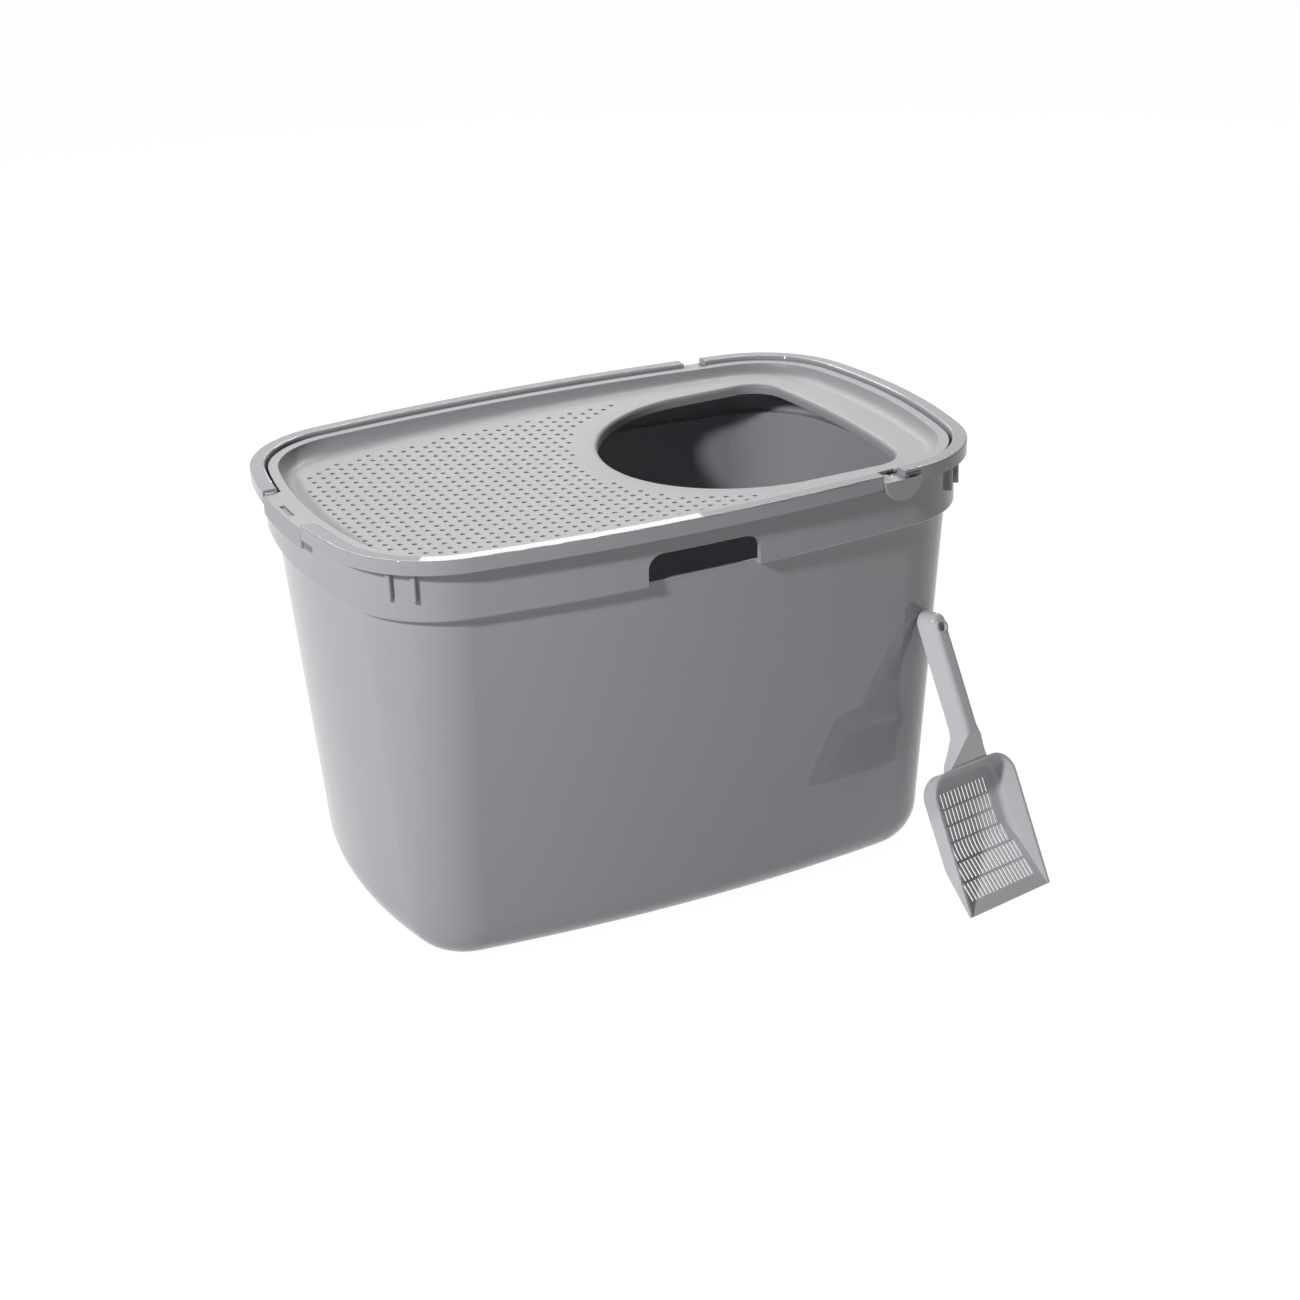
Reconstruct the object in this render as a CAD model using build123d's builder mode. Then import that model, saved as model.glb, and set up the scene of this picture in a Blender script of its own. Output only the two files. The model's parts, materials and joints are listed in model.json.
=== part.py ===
"""Top entry litter box: a moulded tub, a hinged perforated lid and a slotted scoop.

Millimetres, +Z up. The origin is the middle of the tub's base. +X runs along the
long side towards the entry hole and the hinge, and -Y is the front.
"""

import os
from math import atan2, cos, degrees, hypot, radians, sin, sqrt, tan

from build123d import *

os.makedirs("parts", exist_ok=True)

# ---------------------------------------------------------------- tub sizes

rim_length = 590
rim_width = 390
tub_height = 382
long_side_radius = 1550      # the sides are gently bowed in plan
short_side_radius = 518
rim_corner_radius = 97.5

# Insets are measured inwards from the outline of the rim
collar_inset = 10.5
body_top_inset = 18
base_inset = 44
wall = 2.5
collar_wall = 2.2
floor_thickness = 3
foot_radius = 41
ledge_drop = 53              # from the top of the rim down to the ledge
ledge_edge_radius = 2.2
rim_thickness = 2.5
lip_thickness = 2.2
lip_depth = 12
rim_edge_radius = 1.4
rim_inner_radius = 2

hand_slot_x = -3.9
hand_slot_length = 100
hand_slot_height = 25
hand_slot_radius = 13
hand_slot_return = 6         # the slot's edge turned into the tub
hand_slot_return_wall = 1.8

rib_width = 4.5
rib_depth = 4.5
rib_drop = 36.5
rib_edge_radius = 1.5
rib_spread = 13.2            # degrees between the two ribs of a corner
rib_corner_angle = 47.2      # degrees from the long axis to the middle of a pair

# ---------------------------------------------------------------- lid sizes

lid_clearance = 2.7
lid_drop = 3.5
lid_flange = 8.3
lid_wall = 2.4
tray_depth = 14.5            # at the middle of the tub
tray_dish_radius = 3290      # the floor is dished along its middle
tray_tilt = 0.68             # degrees, the floor rises towards the hinge
cove_radius = 14

entry_left_radius = 126
entry_centre_from_end = 167.5
entry_right_from_end = 65.8
entry_right_radius = 600
entry_corner_radius = 32
entry_lip_depth = 9
entry_edge_radius = 4

hole_radius = 2.1
hole_sides = 4
hole_row_pitch = 11.98
hole_column_pitch = 10.3
first_hole_from_end = 52.9
hole_end_inset = 45.5
hole_front_inset = 49.6
hole_back_inset = 52.6
hole_entry_margin = 22.5

# Half-round hinge ears outside the collar, on trunnions through it
hinge_from_end = 118.9
hinge_drop = 9.1             # from the top of the rim down to the hinge's axis
ear_lead = 2.1               # from the axis to the middle of the ear
ear_rise = 2.8               # from the axis up to the ear's flat top
ear_radius = 18
ear_thickness = 2.5
ear_outer_inset = 7
ear_bevel = 0.8
ear_gap = 0.6
shelf_thickness = 2.5
shelf_clearance = 0.4
shelf_root = 0.5             # past the tray's edge, into its rounded wall
shelf_tip = 1.2              # from the rim's end back to the shelf's outer tip
lug_radius = 2.8
lug_clearance = 0.5
trunnion_radius = 1.9
trunnion_reach = 1
running_clearance = 0.05
rim_end_from_ear = 2.8
rim_end_wall = 1.5
window_length = 15
window_bar = 1.2
ear_notch = 3

# Pull tab at the left end, over a notch in the rim
tab_width = 91.6
tab_side_gap = 0.8
tab_drop = 16.5
tab_fold_radius = 2
tab_clearance = 0.3
latch_slot_length = 26
latch_slot_width = 4.4
latch_slot_inset = 7.2
latch_length = 20
latch_thickness = 2.2

# ---------------------------------------------------------------- scoop sizes

scoop_width = 95.6
scoop_bowl_length = 124.6
scoop_bowl_depth = 24
scoop_ramp_length = 54
scoop_lip_thickness = 2.4
scoop_wall = 2.2
scoop_draft = 8
scoop_corner_radius = 22
scoop_foot_radius = 8
scoop_bend_radius = 40
scoop_length = 264
handle_width = 29
handle_rise = 17
handle_draft = 18
handle_root_width = 60
handle_kink_y = 150
handle_root_drop = 8
handle_root_overlap = 12
handle_wall = 2.2
handle_rim_gap = 0.5
handle_rim_drop = 0.6        # the handle's root lies just below the bowl's rim
handle_edge_radius = 5
hang_hole_radius = 4.2
hang_ring_radius = 6.2
hang_ring_height = 0.6
hang_hole_from_end = 19.5
slot_width = 2.6
slot_pitch = 4.25
slot_columns = (18, 18, 16, 14, 14, 14)   # from the lip to the back
slot_bar = 1.8
slot_first_y = 10.6
slot_ramp_pitch = 17
slot_floor_pitch = 14.6

scoop_lip_from_corner = 56.32   # along X, from the middle of the tub's corner
scoop_stand = 102.37          # from the tub's side, where the handle leans, out to the lip
scoop_turn = 12              # degrees, the lip's heading on the floor
scoop_lean = 64.65           # degrees, from the floor up to the scoop's own plane

# ---------------------------------------------------------------- derived sizes

ledge_height = tub_height - ledge_drop
slope = (base_inset - body_top_inset) / ledge_height
hollow_base_inset = base_inset + wall - floor_thickness * slope
lip_bottom = tub_height - lip_depth
collar_inner_inset = collar_inset + collar_wall
lid_top = tub_height - lid_drop
lid_under = lid_top - lid_wall
lid_inset = collar_inner_inset + lid_clearance
tray_inset = lid_inset + lid_flange
tray_floor = lid_top - tray_depth
hinge_x = rim_length / 2 - hinge_from_end
hinge_z = tub_height - hinge_drop
ear_x = hinge_x + ear_lead
ear_top = hinge_z + ear_rise
rim_end_x = ear_x + rim_end_from_ear
gap_left_x = ear_x - ear_radius - ear_gap
gap_width = rim_end_x - gap_left_x
notch_floor = ear_top - shelf_thickness - shelf_clearance
shelf_end_x = hinge_x - lug_radius - lug_clearance
ear_outer_y = rim_width / 2 - ear_outer_inset
ear_inner_y = ear_outer_y - ear_thickness
window_x = rim_end_x + rim_end_wall + window_length / 2
window_height = lip_depth - rim_thickness
window_bar_z = ear_top + 2.2
entry_centre_x = rim_length / 2 - entry_centre_from_end
entry_right_x = rim_length / 2 - entry_right_from_end
first_hole_x = first_hole_from_end - rim_length / 2

# Centres of the rim's arcs, and how far each side turns before its corner begins
long_centre_y = rim_width / 2 - long_side_radius
short_centre_x = rim_length / 2 - short_side_radius
centres_apart = hypot(short_centre_x, long_centre_y)
towards_x = short_centre_x / centres_apart
towards_y = -long_centre_y / centres_apart
corner_along = (
    (long_side_radius - rim_corner_radius)**2
    - (short_side_radius - rim_corner_radius)**2
    + centres_apart**2
) / (2 * centres_apart)
corner_across = sqrt((long_side_radius - rim_corner_radius)**2 - corner_along**2)
corner_x = corner_along * towards_x + corner_across * towards_y
corner_y = long_centre_y + corner_along * towards_y - corner_across * towards_x
long_turn = degrees(atan2(corner_x, corner_y - long_centre_y))
short_turn = degrees(atan2(corner_y, corner_x - short_centre_x))


def rim_plan(height, inset):
    """The bowed, round-cornered plan of the tub, moved inwards, as a face."""
    arcs = (
        (short_centre_x, 0, short_side_radius, -short_turn, short_turn),
        (corner_x, corner_y, rim_corner_radius, short_turn, 90 - long_turn),
        (0, long_centre_y, long_side_radius, 90 - long_turn, 90 + long_turn),
        (-corner_x, corner_y, rim_corner_radius, 90 + long_turn, 180 - short_turn),
        (-short_centre_x, 0, short_side_radius, 180 - short_turn, 180 + short_turn),
        (-corner_x, -corner_y, rim_corner_radius, 180 + short_turn, 270 - long_turn),
        (0, -long_centre_y, long_side_radius, 270 - long_turn, 270 + long_turn),
        (corner_x, -corner_y, rim_corner_radius, 270 + long_turn, 360 - short_turn),
    )
    with BuildSketch(Plane.XY.offset(height)) as plan:
        with BuildLine():
            for x, y, radius, start, end in arcs:
                CenterArc((x, y), radius - inset, start, end - start)
        make_face()
    return plan.sketch


def long_side_y(x, inset):
    """Distance from the middle of the tub to its long side at x."""
    radius = long_side_radius - inset
    return rim_width / 2 - inset - radius + sqrt(radius**2 - x**2)


def entry_plan(height, growth):
    """The entry hole's outline, grown outwards, as a face."""
    radius = entry_left_radius + growth
    right_x = entry_right_x + growth
    with BuildSketch(Plane.XY.offset(height)) as plan:
        with Locations((entry_centre_x, 0)):
            Circle(radius)
        with Locations((entry_centre_x + radius / 2, 0)):
            Rectangle(radius, 2 * radius)
        with Locations((right_x - entry_right_radius, 0)):
            Circle(entry_right_radius, mode=Mode.INTERSECT)
        right_corners = plan.vertices().filter_by(lambda corner: corner.X > entry_centre_x + 1)
        fillet(right_corners, entry_corner_radius + growth)
    return plan.sketch


# ---------------------------------------------------------------- tub

with BuildPart() as tub_hollow:
    hollow_foot = rim_plan(floor_thickness, hollow_base_inset).face()
    hollow_top = rim_plan(ledge_height, body_top_inset + wall).face()
    loft([hollow_foot, hollow_top], ruled=True)
    fillet(tub_hollow.faces().sort_by(Axis.Z)[0].edges(), foot_radius - wall)

with BuildPart() as tub_body:
    body_foot = rim_plan(0, base_inset).face()
    body_top = rim_plan(ledge_height, body_top_inset).face()
    loft([body_foot, body_top], ruled=True)
    fillet(tub_body.faces().sort_by(Axis.Z)[0].edges(), foot_radius)
    add(tub_hollow.part, mode=Mode.SUBTRACT)

with BuildPart() as corner_ribs:
    for side in (-1, 1):
        angle = radians(rib_corner_angle + side * rib_spread / 2)
        reach = rim_corner_radius - collar_inset - collar_wall / 2
        foot = (corner_x + reach * cos(angle), corner_y + reach * sin(angle), tub_height - rib_drop)
        rib_length = rib_depth + collar_wall / 2
        rib_plane = Plane(foot, x_dir=(cos(angle), sin(angle), 0), z_dir=(0, 0, 1))
        with BuildSketch(rib_plane) as rib_section:
            with Locations((rib_length / 2, 0)):
                Rectangle(rib_length, rib_width)
        extrude(amount=rib_drop - rim_thickness / 2)
        outer_ends = corner_ribs.edges().filter_by(Axis.Z).sort_by(
            lambda edge: hypot(edge.center().X - corner_x, edge.center().Y - corner_y)
        )
    fillet(outer_ends[-4:], rib_edge_radius)
    mirror(about=Plane.YZ)
    mirror(about=Plane.XZ)

# What the rim and its lip lose where a hinge ear swings up
with BuildPart() as rim_gap:
    with BuildSketch(Plane.XY.offset(lip_bottom - 1)) as gap_plan:
        with Locations((gap_left_x + gap_width / 2, -rim_width / 2)):
            Rectangle(gap_width, rim_width / 4)
        add(rim_plan(lip_bottom - 1, collar_inset), mode=Mode.SUBTRACT)
    extrude(amount=lip_depth + 2)

# The collar's notch for the ear's shelf, round the bearing lug
with BuildPart() as shelf_notch:
    with BuildSketch(Plane.XZ.offset(long_side_y(hinge_x, collar_inner_inset) - 10)) as notch_side:
        with Locations((gap_left_x + gap_width / 2, notch_floor + lip_depth)):
            Rectangle(gap_width, 2 * lip_depth)
        with Locations((hinge_x, hinge_z)):
            Circle(lug_radius, mode=Mode.SUBTRACT)
        with Locations((hinge_x + lip_depth - lug_radius, hinge_z - lip_depth)):
            Rectangle(2 * lip_depth, 2 * lip_depth, mode=Mode.SUBTRACT)
    extrude(amount=20)

# The lip's window beside the ear, crossed by a thin bar
with BuildPart() as lip_window:
    with BuildSketch(Plane.XZ.offset(rim_width / 2 - collar_inset - 3)) as window_side:
        with Locations((window_x, lip_bottom + window_height / 2)):
            Rectangle(window_length, window_height)
        with Locations((window_x, window_bar_z)):
            Rectangle(window_length, window_bar, mode=Mode.SUBTRACT)
    extrude(amount=collar_inset + 5)
    inside_lip = rim_plan(lip_bottom - 1, lip_thickness + 0.5)
    extrude(inside_lip, amount=lip_depth + 2, mode=Mode.SUBTRACT)

with BuildPart() as rim_end:
    with BuildSketch(Plane.XY.offset(lip_bottom)) as end_plan:
        with Locations((rim_end_x + rim_end_wall / 2, -rim_width / 2)):
            Rectangle(rim_end_wall, rim_width / 4)
        add(rim_plan(lip_bottom, lip_thickness / 2), mode=Mode.INTERSECT)
        add(rim_plan(lip_bottom, collar_inset + collar_wall / 2), mode=Mode.SUBTRACT)
    extrude(amount=lip_depth - rim_thickness / 2)

# Notch in the rim for the pull tab
with BuildPart() as tab_gap:
    with BuildSketch(Plane.XY.offset(lip_bottom - 1)) as tab_gap_plan:
        with Locations((-rim_length / 2, 0)):
            Rectangle(rim_length / 4, tab_width + 2 * tab_side_gap)
        add(rim_plan(lip_bottom - 1, collar_inset), mode=Mode.SUBTRACT)
    extrude(amount=lip_depth + 2)
    with Locations((-rim_length / 2 + collar_inset, 0, lid_under - tab_clearance + lip_depth / 2)):
        Box(20, tab_width + 2 * tab_side_gap, lip_depth)


def hand_slot_side(inset, foot, growth):
    """Upright outline of a hand slot, grown outwards, as a face at inset from the rim."""
    height = ledge_height + hand_slot_height + growth - foot
    with BuildSketch(Plane.XZ.offset(rim_width / 2 - inset)) as side:
        with Locations((hand_slot_x, foot + height / 2)):
            Rectangle(hand_slot_length + 2 * growth, height)
        fillet(side.vertices().sort_by(Axis.Y)[-2:], hand_slot_radius + growth)
    return side.sketch


# Hand slots, cut through the collar and the ledge below them, with a turned-in edge
with BuildPart() as hand_slot:
    slot_foot = ledge_height - wall - 1
    extrude(hand_slot_side(collar_inset + 10, slot_foot, 0), amount=20)
    body_below = rim_plan(ledge_height - 2 * wall, body_top_inset)
    extrude(body_below, amount=2 * wall, mode=Mode.SUBTRACT)

with BuildPart() as slot_return:
    return_face = hand_slot_side(
        collar_inset + hand_slot_return,
        ledge_height - wall / 5,
        hand_slot_return_wall,
    )
    extrude(return_face, amount=hand_slot_return - collar_wall / 2)

with BuildPart() as catch:
    catch_x = -rim_length / 2 + latch_slot_inset
    with Locations((catch_x, 0, lid_top - 1.2 - latch_thickness * 2.5)):
        Box(latch_thickness, latch_length, latch_thickness * 5)
    with Locations((catch_x + (collar_inset - latch_slot_inset) / 2, 0, lid_under - 3 * latch_thickness)):
        Box(collar_inset - latch_slot_inset + collar_wall / 2, latch_length, latch_thickness)

with BuildPart() as tub:
    extrude(rim_plan(lip_bottom, 0), amount=lip_depth)
    extrude(rim_plan(lip_bottom, lip_thickness), amount=lip_depth - rim_thickness, mode=Mode.SUBTRACT)
    fillet(tub.faces().sort_by(Axis.Z)[-1].edges(), rim_edge_radius)
    extrude(rim_plan(ledge_height - wall, collar_inset), amount=tub_height - ledge_height + wall)
    fillet(tub.faces().sort_by(Axis.Z)[0].edges(), ledge_edge_radius)
    extrude(rim_plan(ledge_height, collar_inner_inset), amount=tub_height - ledge_height, mode=Mode.SUBTRACT)
    fillet(tub.faces().sort_by(Axis.Z)[-1].inner_wires()[0].edges(), rim_inner_radius)
    extrude(rim_plan(ledge_height - wall, body_top_inset + wall / 2), amount=wall, mode=Mode.SUBTRACT)
    add(tub_body.part)
    add(corner_ribs.part)
    add(slot_return.part)
    add(mirror(slot_return.part, about=Plane.XZ, mode=Mode.PRIVATE))
    add(hand_slot.part, mode=Mode.SUBTRACT)
    add(mirror(hand_slot.part, about=Plane.XZ, mode=Mode.PRIVATE), mode=Mode.SUBTRACT)
    for cutter in (rim_gap.part, shelf_notch.part, lip_window.part):
        add(cutter, mode=Mode.SUBTRACT)
        add(mirror(cutter, about=Plane.XZ, mode=Mode.PRIVATE), mode=Mode.SUBTRACT)
    add(rim_end.part)
    add(mirror(rim_end.part, about=Plane.XZ, mode=Mode.PRIVATE))
    with Locations(Location((hinge_x, 0, hinge_z), (90, 0, 0))):
        Cylinder(trunnion_radius + running_clearance, rim_width, mode=Mode.SUBTRACT)
    add(tab_gap.part, mode=Mode.SUBTRACT)
    add(catch.part)
tub.part.label = "tub"
export_step(tub.part, "parts/tub.step")

# ---------------------------------------------------------------- lid

hole_points = []
hole_limit = rim_plan(0, hole_end_inset).face()
last_row = int(rim_width / 2 / hole_row_pitch)
column = 0
while first_hole_x + column * hole_column_pitch < entry_centre_x:
    hole_x = first_hole_x + column * hole_column_pitch
    row_shift = hole_row_pitch / 2 if column % 2 == 0 else 0
    for row in range(-last_row, last_row + 1):
        hole_y = row * hole_row_pitch + row_shift
        from_entry = hypot(hole_x - entry_centre_x, hole_y)
        clear = (
            from_entry > entry_left_radius + hole_entry_margin
            and -long_side_y(hole_x, hole_front_inset) < hole_y < long_side_y(hole_x, hole_back_inset)
        )
        if clear and hole_limit.is_inside((hole_x, hole_y, 0)):
            hole_points.append((hole_x, hole_y))
    column += 1

with BuildPart() as ear:
    with BuildSketch(Plane.XZ.offset(ear_inner_y)) as ear_side:
        with Locations((ear_x, ear_top)):
            Circle(ear_radius)
        with Locations((ear_x, ear_top + ear_radius)):
            Rectangle(2 * ear_radius + 1, 2 * ear_radius, mode=Mode.SUBTRACT)
    extrude(amount=ear_thickness)
    chamfer(ear.faces().sort_by(Axis.Y)[0].edges(), ear_bevel)
    # shelf over the collar's notch, back to the tray's wall
    shelf_root_y = long_side_y(gap_left_x, tray_inset + shelf_root)
    shelf_length = ear_outer_y - ear_thickness / 2 - shelf_root_y
    shelf_left_x = gap_left_x + ear_gap
    with Locations((
        (shelf_left_x + shelf_end_x) / 2,
        -shelf_root_y - shelf_length / 2,
        ear_top - shelf_thickness / 2,
    )):
        Box(shelf_end_x - shelf_left_x, shelf_length, shelf_thickness)
    # the shelf's outer strip runs on over the trunnion, outside the collar
    strip_root_y = long_side_y(shelf_end_x, collar_inset) + shelf_clearance
    strip_length = ear_outer_y - ear_thickness / 2 - strip_root_y
    strip_end_x = rim_end_x - shelf_tip
    with Locations((
        (shelf_left_x + strip_end_x) / 2,
        -strip_root_y - strip_length / 2,
        ear_top - shelf_thickness / 2,
    )):
        Box(strip_end_x - shelf_left_x, strip_length, shelf_thickness)
    # trunnion through the collar
    trunnion_end_y = long_side_y(hinge_x, collar_inner_inset) - trunnion_reach
    with BuildSketch(Plane.XZ.offset(trunnion_end_y)) as trunnion_end:
        with Locations((hinge_x, hinge_z)):
            Circle(trunnion_radius)
    extrude(amount=ear_inner_y - trunnion_end_y + ear_thickness / 2)

with BuildPart() as pull_tab:
    with BuildSketch(Plane.XY.offset(lid_top - tab_drop)) as apron_plan:
        add(rim_plan(lid_top - tab_drop, 0))
        add(rim_plan(lid_top - tab_drop, lid_wall), mode=Mode.SUBTRACT)
        with Locations((-rim_length / 2, 0)):
            Rectangle(rim_length / 4, tab_width, mode=Mode.INTERSECT)
    extrude(amount=tab_drop)
    with BuildSketch(Plane.XY.offset(lid_under)) as tab_plan:
        add(rim_plan(lid_under, 0))
        add(rim_plan(lid_under, lid_inset + 1), mode=Mode.SUBTRACT)
        with Locations((-rim_length / 2, 0)):
            Rectangle(rim_length / 4, tab_width, mode=Mode.INTERSECT)
    extrude(amount=lid_wall)
    fold = pull_tab.edges().filter_by(Axis.Z, reverse=True).group_by(Axis.Z)[-1].sort_by(Axis.X)[0]
    fillet(fold, tab_fold_radius)
    with Locations((-rim_length / 2 + latch_slot_inset, 0, lid_top)):
        Box(latch_slot_width, latch_slot_length, 4 * lid_wall, mode=Mode.SUBTRACT)


def floor_height(x, y):
    """Height of the tray's dished, tilted floor."""
    dish = tray_dish_radius - sqrt(tray_dish_radius**2 - y**2)
    return tray_floor + x * tan(radians(tray_tilt)) + dish


def tray_block(plan, drop, foot_rounding):
    """Upright block over a plan face, from drop below the tray's floor, its foot rounded."""
    radius = tray_dish_radius + drop
    with BuildPart() as block:
        extrude(plan, amount=3 * tray_depth + cove_radius)
        with Locations(Location((0, 0, tray_floor - drop + radius), (0, 90 - tray_tilt, 0))):
            Cylinder(radius, 2 * rim_length, mode=Mode.INTERSECT)
        if foot_rounding:
            fillet(block.faces().sort_by(Axis.Z)[0].edges(), foot_rounding)
    return block.part


with BuildPart() as lid:
    block_foot = tray_floor - 2 * tray_depth
    add(tray_block(rim_plan(block_foot, tray_inset - lid_wall), lid_wall, cove_radius + lid_wall))
    split(bisect_by=Plane.XY.offset(lid_top), keep=Keep.BOTTOM)
    extrude(rim_plan(lid_under, lid_inset), amount=lid_wall)
    add(tray_block(entry_plan(block_foot, lid_wall), entry_lip_depth, 0))
    add(tray_block(rim_plan(block_foot, tray_inset), 0, cove_radius), mode=Mode.SUBTRACT)
    # rim stepped in behind the hinge ears
    with BuildSketch(Plane.XY.offset(lid_under - 1)) as step_plan:
        with Locations((gap_left_x + gap_width / 2, 0)):
            Rectangle(gap_width, rim_width)
        add(rim_plan(lid_under - 1, lid_inset + ear_notch), mode=Mode.SUBTRACT)
    extrude(amount=lid_wall + 2, mode=Mode.SUBTRACT)
    # entry hole with its turned-down edge
    extrude(entry_plan(block_foot, 0), amount=4 * tray_depth, mode=Mode.SUBTRACT)
    entry_edges = lid.edges().filter_by(
        lambda edge: abs((edge @ 0.5).Z - floor_height((edge @ 0.5).X, (edge @ 0.5).Y)) < lid_wall / 4
        and hypot((edge @ 0.5).X - entry_centre_x, (edge @ 0.5).Y) < entry_left_radius + 1
    )
    fillet(entry_edges, entry_edge_radius)
    add(ear.part)
    add(mirror(ear.part, about=Plane.XZ, mode=Mode.PRIVATE))
    add(pull_tab.part)
    with BuildSketch(Plane.XY.offset(block_foot)) as holes:
        with Locations(*hole_points):
            RegularPolygon(hole_radius, hole_sides)
    extrude(amount=4 * tray_depth, mode=Mode.SUBTRACT)
lid.part.label = "lid"
export_step(lid.part, "parts/lid.step")

# ---------------------------------------------------------------- scoop

# The scoop is drawn lying on its back, with its rim in the XY plane, its lip along X
# and its handle towards +Y.


def bowl_block(inset):
    """Tapering block inside the bowl's rim, its foot rounded, moved inwards by inset."""
    half_width = scoop_width / 2 - inset
    with BuildSketch() as rim:
        with Locations((0, -inset)):
            Rectangle(2 * half_width, 2 * scoop_bowl_length)
        fillet(rim.vertices(), scoop_corner_radius - inset)
    with BuildPart() as block:
        extrude(rim.sketch, amount=scoop_bowl_depth - inset, dir=(0, 0, -1), taper=scoop_draft)
        fillet(block.faces().sort_by(Axis.Z)[0].edges(), scoop_foot_radius - inset)
        extrude(rim.sketch, amount=scoop_wall)
    return block.part


def bowl_side(inset):
    """The bowl's ramp and floor seen from the side, moved inwards by inset."""
    depth = scoop_bowl_depth - inset
    top = inset
    rear = 2 * scoop_bowl_length
    with BuildSketch(Plane.YZ.offset(-scoop_width)) as side:
        with BuildLine():
            Polyline(
                (0, inset - scoop_lip_thickness),
                (scoop_ramp_length, -depth),
                (rear, -depth),
                (rear, top),
                (0, top),
                close=True,
            )
        make_face()
        bend = side.vertices().sort_by(Axis.Y)[:2].sort_by(Axis.X)[0]
        fillet(bend, scoop_bend_radius - inset)
    return side.sketch


with BuildPart() as bowl_hollow:
    add(bowl_block(scoop_wall))
    extrude(bowl_side(scoop_wall), amount=2 * scoop_width, mode=Mode.INTERSECT)

def handle_grip(gap):
    """Plan of the handle's straight grip with its round end, moved inwards by gap."""
    half_width = handle_width / 2
    end_y = scoop_length - half_width
    with BuildSketch(Plane.XY.offset(-handle_root_drop)) as grip:
        with Locations((0, (handle_kink_y + gap + end_y) / 2)):
            Rectangle(handle_width - 2 * gap, end_y - handle_kink_y - gap)
        with Locations((0, end_y)):
            Circle(half_width - gap)
    return grip.sketch


with BuildPart() as handle_hollow:
    extrude(
        handle_grip(handle_wall),
        amount=handle_root_drop + handle_rise - handle_wall,
        taper=handle_draft,
    )

with BuildPart() as handle:
    root_x = handle_root_width / 2
    root_y = scoop_bowl_length - handle_root_overlap
    neck_x = handle_width / 2
    neck_y = handle_kink_y + 8
    with BuildSketch(Plane.XY.offset(-handle_root_drop)) as handle_plan:
        add(handle_grip(0))
        with BuildLine():
            Line((-root_x, root_y), (root_x, root_y))
            ThreePointArc((root_x, root_y), (0.62 * root_x, handle_kink_y - 11), (neck_x, neck_y))
            Line((neck_x, neck_y), (-neck_x, neck_y))
            ThreePointArc((-neck_x, neck_y), (-0.62 * root_x, handle_kink_y - 11), (-root_x, root_y))
        make_face()
    extrude(amount=handle_root_drop + handle_rise, taper=handle_draft)
    # the crown falls to the bowl's rim, and the underside rises clear of the bowl's back
    with BuildSketch(Plane.YZ.offset(-scoop_width)) as handle_side:
        with BuildLine():
            Polyline(
                (scoop_bowl_length - handle_root_overlap, -handle_root_drop),
                (scoop_bowl_length + 4, -handle_root_drop),
                (handle_kink_y, 0),
                (scoop_length + 1, 0),
                (scoop_length + 1, handle_rise),
                (handle_kink_y, handle_rise),
                (scoop_bowl_length + handle_rim_gap, -handle_rim_drop),
                (scoop_bowl_length - handle_root_overlap, -handle_rim_drop),
                close=True,
            )
        make_face()
    extrude(amount=2 * scoop_width, mode=Mode.INTERSECT)
    fillet(handle.faces().sort_by(Axis.Z)[-1].edges(), handle_edge_radius)
    add(handle_hollow.part, mode=Mode.SUBTRACT)
    ring_length = handle_wall + hang_ring_height
    with Locations((0, scoop_length - hang_hole_from_end, handle_rise - handle_wall + ring_length / 2)):
        Cylinder(hang_ring_radius, ring_length)
        Hole(hang_hole_radius)

with BuildPart() as scoop_flat:
    add(bowl_block(0))
    extrude(bowl_side(0), amount=2 * scoop_width, mode=Mode.INTERSECT)
    add(handle.part)
    add(bowl_hollow.part, mode=Mode.SUBTRACT)
    row_start = slot_first_y
    for row, columns in enumerate(slot_columns):
        row_pitch = slot_ramp_pitch if row < 3 else slot_floor_pitch
        with BuildSketch(Plane.XY.offset(-scoop_bowl_depth - 1)) as slots:
            with Locations((0, row_start + row_pitch / 2)):
                with GridLocations(slot_pitch, 0, columns, 1):
                    Rectangle(slot_width, row_pitch - slot_bar)
        extrude(amount=scoop_bowl_depth, mode=Mode.SUBTRACT)
        row_start += row_pitch

turn = radians(scoop_turn)
lean = radians(scoop_lean)
lean_height = scoop_length * sin(lean)
lean_inset = body_top_inset + (ledge_height - lean_height) * slope
scoop_lip_x = corner_x + scoop_lip_from_corner
scoop_lip_y = lean_inset - corner_y - rim_corner_radius - scoop_stand
scoop_plane = Plane(
    origin=(scoop_lip_x, scoop_lip_y, scoop_lip_thickness * cos(lean)),
    x_dir=(cos(turn), sin(turn), 0),
    z_dir=(sin(turn) * sin(lean), -cos(turn) * sin(lean), cos(lean)),
)
scoop_part = scoop_plane.from_local_coords(scoop_flat.part)
scoop_part.label = "scoop"
export_step(scoop_part, "parts/scoop.step")
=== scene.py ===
"""Top entry litter box: glossy grey tub, satin perforated lid and a slotted scoop."""

import json
from math import cos, hypot, radians, sin, sqrt

import bpy
from mathutils import Matrix, Vector

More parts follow.
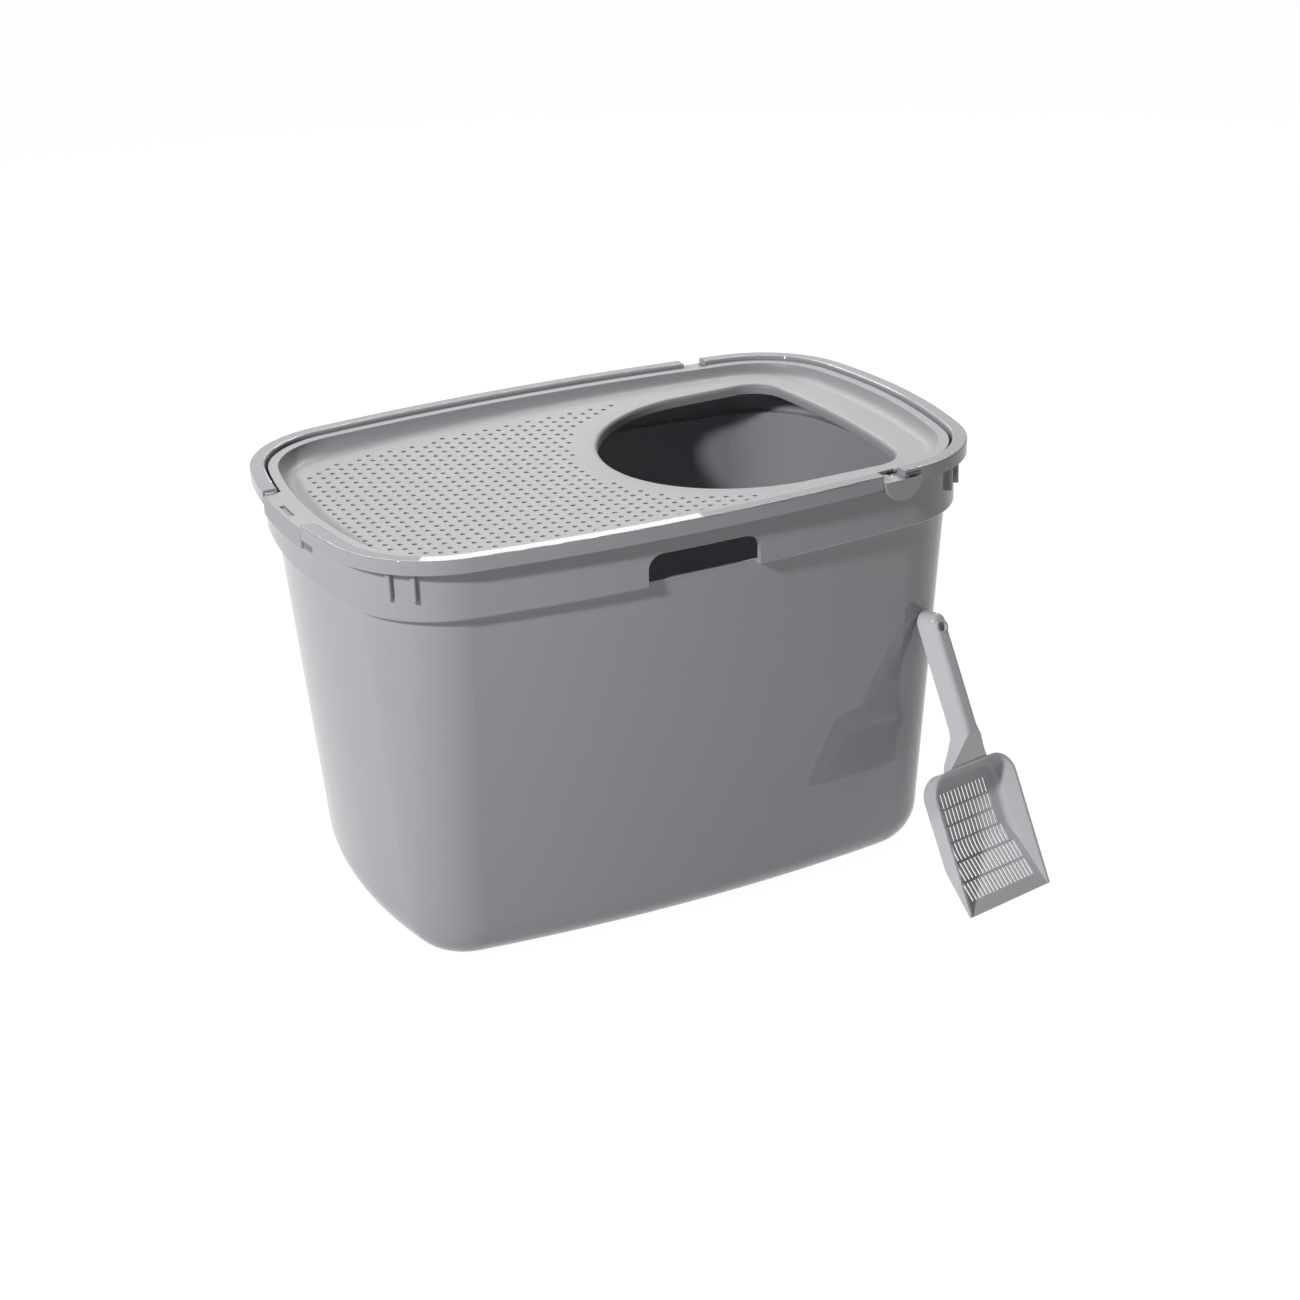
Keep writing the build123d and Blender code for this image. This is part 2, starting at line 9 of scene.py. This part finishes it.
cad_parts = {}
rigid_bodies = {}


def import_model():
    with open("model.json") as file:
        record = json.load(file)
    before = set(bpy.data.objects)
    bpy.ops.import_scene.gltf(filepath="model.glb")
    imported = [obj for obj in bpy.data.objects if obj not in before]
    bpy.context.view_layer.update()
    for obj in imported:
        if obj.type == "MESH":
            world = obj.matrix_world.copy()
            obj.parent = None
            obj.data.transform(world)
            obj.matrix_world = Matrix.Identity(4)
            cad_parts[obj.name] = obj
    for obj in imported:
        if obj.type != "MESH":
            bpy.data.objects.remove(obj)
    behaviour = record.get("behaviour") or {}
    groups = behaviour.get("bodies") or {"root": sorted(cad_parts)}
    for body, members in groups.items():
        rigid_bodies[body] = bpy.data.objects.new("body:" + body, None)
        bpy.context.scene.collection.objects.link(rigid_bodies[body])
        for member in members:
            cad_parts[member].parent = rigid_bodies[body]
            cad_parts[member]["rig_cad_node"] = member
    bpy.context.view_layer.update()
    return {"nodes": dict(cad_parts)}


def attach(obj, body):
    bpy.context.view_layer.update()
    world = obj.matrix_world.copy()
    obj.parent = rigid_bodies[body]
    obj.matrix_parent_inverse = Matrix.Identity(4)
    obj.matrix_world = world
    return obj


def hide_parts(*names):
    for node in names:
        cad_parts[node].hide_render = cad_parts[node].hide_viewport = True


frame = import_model()

MM = 0.001

# Camera: azimuth, elevation and roll in degrees, the rest in millimetres
CAMERA_AZIMUTH = -25.4
CAMERA_ELEVATION = 23.52
CAMERA_ROLL = -1.98
CAMERA_DISTANCE = 2293.05
CAMERA_TARGET = (31.92, 0, 185.41)
CAMERA_LENS = 71.74
SENSOR_WIDTH = 36

# Plan of the tub's rim and of the field of perforations, in millimetres
RIM_WIDTH = 390
LONG_SIDE_RADIUS = 1550
CORNER_RADIUS = 97.5
CORNER_CENTRE = (188.78, 85.18)
ENTRY_CENTRE_X = 127.5
ENTRY_RADIUS = 126
FIRST_COLUMN_X = -242.1
COLUMN_PITCH = 10.3
ROW_PITCH = 11.98
FIELD_END_INSET = 45.5
FIELD_FRONT_INSET = 49.6
FIELD_BACK_INSET = 52.6
FIELD_ENTRY_MARGIN = 22.5

# The drill that makes the perforations round, in millimetres; it is parked off the lid
HOLE_RADIUS = 2.2
HOLE_SIDES = 12
DRILL_LENGTH = 30
DRILL_MIDDLE_Z = 365
DRILL_PARKED_X = FIRST_COLUMN_X - 200

# Corners of the lid's mesh that are closer than this, in millimetres, are joined;
# its shading is smooth over edges that turn less than this, in degrees
WELD_DISTANCE = 0.001
CREASE_ANGLE = 30

PLASTIC_GREY = (0.35, 0.346, 0.378)
LID_GREY = (0.352, 0.349, 0.37)
SCOOP_GREY = (0.6, 0.597, 0.63)

# Flow marks: how many to a metre, and their share of the colour and of the roughness
FLOW_MARKS = 6
FLOW_TINT = 0.015
FLOW_ROUGHNESS = 0.15

# Height of the moulded grain in millimetres, and how rough the glossy skin over it is
GRAIN_HEIGHT = 0.05
SKIN_ROUGHNESS = 0.02

# The floor: its size in metres, its paper, and how strongly plain white shines over it
FLOOR_SIZE = 12
FLOOR_PAPER = (0.85, 0.85, 0.85, 1)
FLOOR_ROUGHNESS = 0.9
FLOOR_GLOW = 1.09

# The floor's share of that white and the air's strength, as light on the pieces and as seen
FLOOR_WHITE_LIT = 0.08
FLOOR_WHITE_SEEN = 0.9
AIR_LIT = 0.0
AIR_SEEN = 1.0

# Where the lamps point, in metres, and how warm the soft ones are
TUB_MIDDLE = (0, 0, 0.25)
LID_MIDDLE = (0, 0, 0.37)
SOFT_WARMTH = 0.06


# ---------------------------------------------------------------- materials


def moulded_plastic(
    name,
    colour,
    roughness,
    grain_size,
    grain_depth,
    skin_gloss,
    base_gloss,
    edge_radius,
):
    """Injection-moulded plastic: a faint flow-mark tint, fine grain and softened edges.

    The grain's size and the edges' radius are in millimetres.
    """
    material = bpy.data.materials.new(name)
    material.use_nodes = True
    nodes = material.node_tree.nodes
    links = material.node_tree.links
    shader = nodes["Principled BSDF"]
    shader.inputs["Coat Weight"].default_value = skin_gloss
    shader.inputs["Coat Roughness"].default_value = SKIN_ROUGHNESS
    shader.inputs["Specular IOR Level"].default_value = base_gloss
    place = nodes.new("ShaderNodeTexCoord")

    flow = nodes.new("ShaderNodeTexNoise")
    flow.inputs["Scale"].default_value = FLOW_MARKS
    flow.inputs["Detail"].default_value = 3
    links.new(place.outputs["Object"], flow.inputs["Vector"])
    tint = nodes.new("ShaderNodeMix")
    tint.data_type = "RGBA"
    tint.inputs["A"].default_value = (*[c * (1 - FLOW_TINT) for c in colour], 1)
    tint.inputs["B"].default_value = (*[c * (1 + FLOW_TINT) for c in colour], 1)
    links.new(flow.outputs["Fac"], tint.inputs["Factor"])
    links.new(tint.outputs["Result"], shader.inputs["Base Color"])

    sheen_map = nodes.new("ShaderNodeMapRange")
    sheen_map.inputs["To Min"].default_value = roughness * (1 - FLOW_ROUGHNESS)
    sheen_map.inputs["To Max"].default_value = roughness * (1 + FLOW_ROUGHNESS)
    links.new(flow.outputs["Fac"], sheen_map.inputs["Value"])
    links.new(sheen_map.outputs["Result"], shader.inputs["Roughness"])

    grain = nodes.new("ShaderNodeTexNoise")
    grain.inputs["Scale"].default_value = 1 / (grain_size * MM)
    grain.inputs["Detail"].default_value = 2
    links.new(place.outputs["Object"], grain.inputs["Vector"])
    rounded = nodes.new("ShaderNodeBevel")
    rounded.samples = 4
    rounded.inputs["Radius"].default_value = edge_radius * MM
    bump = nodes.new("ShaderNodeBump")
    bump.inputs["Strength"].default_value = grain_depth
    bump.inputs["Distance"].default_value = GRAIN_HEIGHT * MM
    links.new(grain.outputs["Fac"], bump.inputs["Height"])
    links.new(rounded.outputs["Normal"], bump.inputs["Normal"])
    links.new(bump.outputs["Normal"], shader.inputs["Normal"])
    return material


def dress(piece, material):
    """Gives a piece its one material."""
    piece.data.materials.clear()
    piece.data.materials.append(material)


# ---------------------------------------------------------------- studio


def soft_box(name, place, aim, width, height, power, warmth=0, shape="RECTANGLE"):
    """An area lamp at a place, turned towards a point; metres and watts."""
    bpy.ops.object.light_add(type="AREA", location=place)
    lamp = bpy.context.object
    lamp.name = name
    lamp.data.shape = shape
    lamp.data.size = width
    lamp.data.size_y = height
    lamp.data.energy = power
    lamp.data.color = (1, 1 - warmth / 3, 1 - warmth)
    direction = Vector(aim) - Vector(place)
    lamp.rotation_euler = direction.to_track_quat("-Z", "Y").to_euler()


def seen_directly(nodes, links):
    """1 for what the camera, a reflection or a clear piece shows, 0 for the light itself."""
    path = nodes.new("ShaderNodeLightPath")
    first = nodes.new("ShaderNodeMath")
    first.operation = "MAXIMUM"
    links.new(path.outputs["Is Camera Ray"], first.inputs[0])
    links.new(path.outputs["Is Glossy Ray"], first.inputs[1])
    either = nodes.new("ShaderNodeMath")
    either.operation = "MAXIMUM"
    links.new(first.outputs["Value"], either.inputs[0])
    links.new(path.outputs["Is Transmission Ray"], either.inputs[1])
    return either.outputs["Value"]


def lit_or_seen(nodes, links, lit, seen):
    """One value as light on the pieces, another as seen directly."""
    value = nodes.new("ShaderNodeMapRange")
    value.inputs["To Min"].default_value = lit
    value.inputs["To Max"].default_value = seen
    links.new(seen_directly(nodes, links), value.inputs["Value"])
    return value.outputs["Result"]


def set_camera():
    """The camera, turned round its target and rolled a little."""
    azimuth = radians(CAMERA_AZIMUTH)
    elevation = radians(CAMERA_ELEVATION)
    roll = radians(CAMERA_ROLL)
    back = Vector((
        sin(azimuth) * cos(elevation),
        -cos(azimuth) * cos(elevation),
        sin(elevation),
    ))
    right = Vector((cos(azimuth), sin(azimuth), 0))
    up = back.cross(right)
    rolled_right = cos(roll) * right + sin(roll) * up
    rolled_up = cos(roll) * up - sin(roll) * right
    place = (Vector(CAMERA_TARGET) + back * CAMERA_DISTANCE) * MM
    bpy.ops.object.camera_add(location=place)
    camera = bpy.context.object
    camera.rotation_euler = Matrix((rolled_right, rolled_up, back)).transposed().to_euler()
    camera.data.sensor_width = SENSOR_WIDTH
    camera.data.lens = CAMERA_LENS
    bpy.context.scene.camera = camera


def white_air():
    """White all round that is seen but gives the pieces no light."""
    world = bpy.data.worlds.new("studio_air")
    bpy.context.scene.world = world
    world.use_nodes = True
    nodes = world.node_tree.nodes
    links = world.node_tree.links
    air = nodes["Background"]
    air.inputs["Color"].default_value = (1, 1, 1, 1)
    links.new(lit_or_seen(nodes, links, AIR_LIT, AIR_SEEN), air.inputs["Strength"])


def white_floor():
    """Paper that shines nearly white and keeps the object's soft shadow."""
    bpy.ops.mesh.primitive_plane_add(size=FLOOR_SIZE, location=(0, 0, 0))
    floor = bpy.context.object
    floor.name = "floor"
    surface = bpy.data.materials.new("floor_white")
    surface.use_nodes = True
    nodes = surface.node_tree.nodes
    links = surface.node_tree.links
    paper = nodes["Principled BSDF"]
    paper.inputs["Base Color"].default_value = FLOOR_PAPER
    paper.inputs["Roughness"].default_value = FLOOR_ROUGHNESS
    paper.inputs["Specular IOR Level"].default_value = 0
    glow = nodes.new("ShaderNodeEmission")
    glow.inputs["Color"].default_value = (1, 1, 1, 1)
    glow.inputs["Strength"].default_value = FLOOR_GLOW
    both = nodes.new("ShaderNodeMixShader")
    share = lit_or_seen(nodes, links, FLOOR_WHITE_LIT, FLOOR_WHITE_SEEN)
    links.new(share, both.inputs["Fac"])
    links.new(paper.outputs["BSDF"], both.inputs[1])
    links.new(glow.outputs["Emission"], both.inputs[2])
    links.new(both.outputs["Shader"], nodes["Material Output"].inputs["Surface"])
    dress(floor, surface)


def studio_lamps():
    """A small key lamp at the front left, and soft lamps at the back, one low for the rim's sheen."""
    soft_box("key_lamp", (-1.90, -0.89, 1.61), TUB_MIDDLE, 0.22, 0.22, 46)
    soft_box("back_lamp", (0.06, 1.74, 2.05), TUB_MIDDLE, 1.2, 0.8, 30, SOFT_WARMTH)
    soft_box("sheen_lamp", (0.72, 1.72, 1.38), LID_MIDDLE, 0.62, 0.6, 3.6, SOFT_WARMTH, "ELLIPSE")
    soft_box("back_right_lamp", (1.31, 1.18, 2.02), TUB_MIDDLE, 0.8, 0.8, 30, SOFT_WARMTH)


# ---------------------------------------------------------------- perforated lid


def only(piece):
    """Leaves one piece selected and active."""
    bpy.ops.object.select_all(action="DESELECT")
    piece.select_set(True)
    bpy.context.view_layer.objects.active = piece


def copy_of(node, name):
    """A CAD node's form as a piece of its own, with its split corners joined again."""
    piece = frame["nodes"][node].copy()
    piece.data = piece.data.copy()
    piece.name = name
    del piece["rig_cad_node"]
    bpy.context.scene.collection.objects.link(piece)
    only(piece)
    bpy.ops.object.mode_set(mode="EDIT")
    bpy.ops.mesh.select_all(action="SELECT")
    bpy.ops.mesh.remove_doubles(threshold=WELD_DISTANCE * MM)
    bpy.ops.mesh.customdata_custom_splitnormals_clear()
    bpy.ops.object.mode_set(mode="OBJECT")
    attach(piece, node)
    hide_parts(node)
    return piece


def long_side(x, inset):
    """How far the bowed long side, moved inwards, stands from the middle at x."""
    radius = LONG_SIDE_RADIUS - inset
    return RIM_WIDTH / 2 - inset - radius + sqrt(radius**2 - x**2)


def in_the_field(x, y):
    """Whether a perforation stands here: clear of the entry, the sides and the corners."""
    if hypot(x - ENTRY_CENTRE_X, y) <= ENTRY_RADIUS + FIELD_ENTRY_MARGIN:
        return False
    if not -long_side(x, FIELD_FRONT_INSET) < y < long_side(x, FIELD_BACK_INSET):
        return False
    past_corner = x < -CORNER_CENTRE[0] and abs(y) > CORNER_CENTRE[1]
    corner_reach = hypot(x + CORNER_CENTRE[0], abs(y) - CORNER_CENTRE[1])
    return not past_corner or corner_reach < CORNER_RADIUS - FIELD_END_INSET


def perforation_runs():
    """The field's columns as (x, first y, count), each an unbroken run of holes."""
    runs = []
    column = 0
    while FIRST_COLUMN_X + column * COLUMN_PITCH < ENTRY_CENTRE_X:
        x = FIRST_COLUMN_X + column * COLUMN_PITCH
        shift = ROW_PITCH / 2 if column % 2 == 0 else 0
        last = int(RIM_WIDTH / 2 / ROW_PITCH)
        count = 0
        for row in range(-last, last + 2):
            y = row * ROW_PITCH + shift
            if row <= last and in_the_field(x, y):
                first = y if count == 0 else first
                count += 1
            elif count:
                runs.append((x, first, count))
                count = 0
        column += 1
    return runs


def parked_drill():
    """An upright drill that stands clear of the lid."""
    bpy.ops.mesh.primitive_cylinder_add(
        vertices=HOLE_SIDES,
        radius=HOLE_RADIUS * MM,
        depth=DRILL_LENGTH * MM,
        location=(DRILL_PARKED_X * MM, 0, DRILL_MIDDLE_Z * MM),
    )
    return bpy.context.object


def drill_run(drill, x, first_y, count):
    """Copies of the drill for one run of perforations, as one piece."""
    only(drill)
    bpy.ops.object.duplicate()
    run = bpy.context.object
    run.location = (x * MM, first_y * MM, DRILL_MIDDLE_Z * MM)
    if count > 1:
        repeat = run.modifiers.new("repeat", "ARRAY")
        repeat.use_relative_offset = False
        repeat.use_constant_offset = True
        repeat.constant_offset_displace = (0, ROW_PITCH * MM, 0)
        repeat.count = count
        bpy.ops.object.modifier_apply(modifier=repeat.name)
    return run


def drilled_lid():
    """The lid with its perforations drilled round."""
    lid = copy_of("lid", "lid_moulding")
    drill = parked_drill()
    runs = [drill_run(drill, x, first_y, count) for x, first_y, count in perforation_runs()]
    only(drill)
    for run in runs:
        run.select_set(True)
    bpy.ops.object.join()
    cut = lid.modifiers.new("perforations", "BOOLEAN")
    cut.operation = "DIFFERENCE"
    cut.solver = "EXACT"
    cut.object = drill
    only(lid)
    bpy.ops.object.modifier_apply(modifier=cut.name)
    only(drill)
    bpy.ops.object.delete()
    only(lid)
    bpy.ops.object.shade_smooth_by_angle(angle=radians(CREASE_ANGLE))
    return lid


tub_finish = moulded_plastic(
    "tub_plastic",
    colour=PLASTIC_GREY,
    roughness=0.28,
    grain_size=1.2,
    grain_depth=0.04,
    skin_gloss=0.85,
    base_gloss=0.0,
    edge_radius=0.5,
)
lid_finish = moulded_plastic(
    "lid_plastic",
    colour=LID_GREY,
    roughness=0.4,
    grain_size=0.8,
    grain_depth=0.1,
    skin_gloss=0.0,
    base_gloss=0.2,
    edge_radius=0.8,
)
scoop_finish = moulded_plastic(
    "scoop_plastic",
    colour=SCOOP_GREY,
    roughness=0.22,
    grain_size=0.9,
    grain_depth=0.06,
    skin_gloss=0.35,
    base_gloss=0.35,
    edge_radius=0.5,
)

dress(frame["nodes"]["tub"], tub_finish)
dress(drilled_lid(), lid_finish)
dress(frame["nodes"]["scoop"], scoop_finish)

set_camera()
bpy.context.scene.view_settings.view_transform = "Standard"
white_air()
white_floor()
studio_lamps()
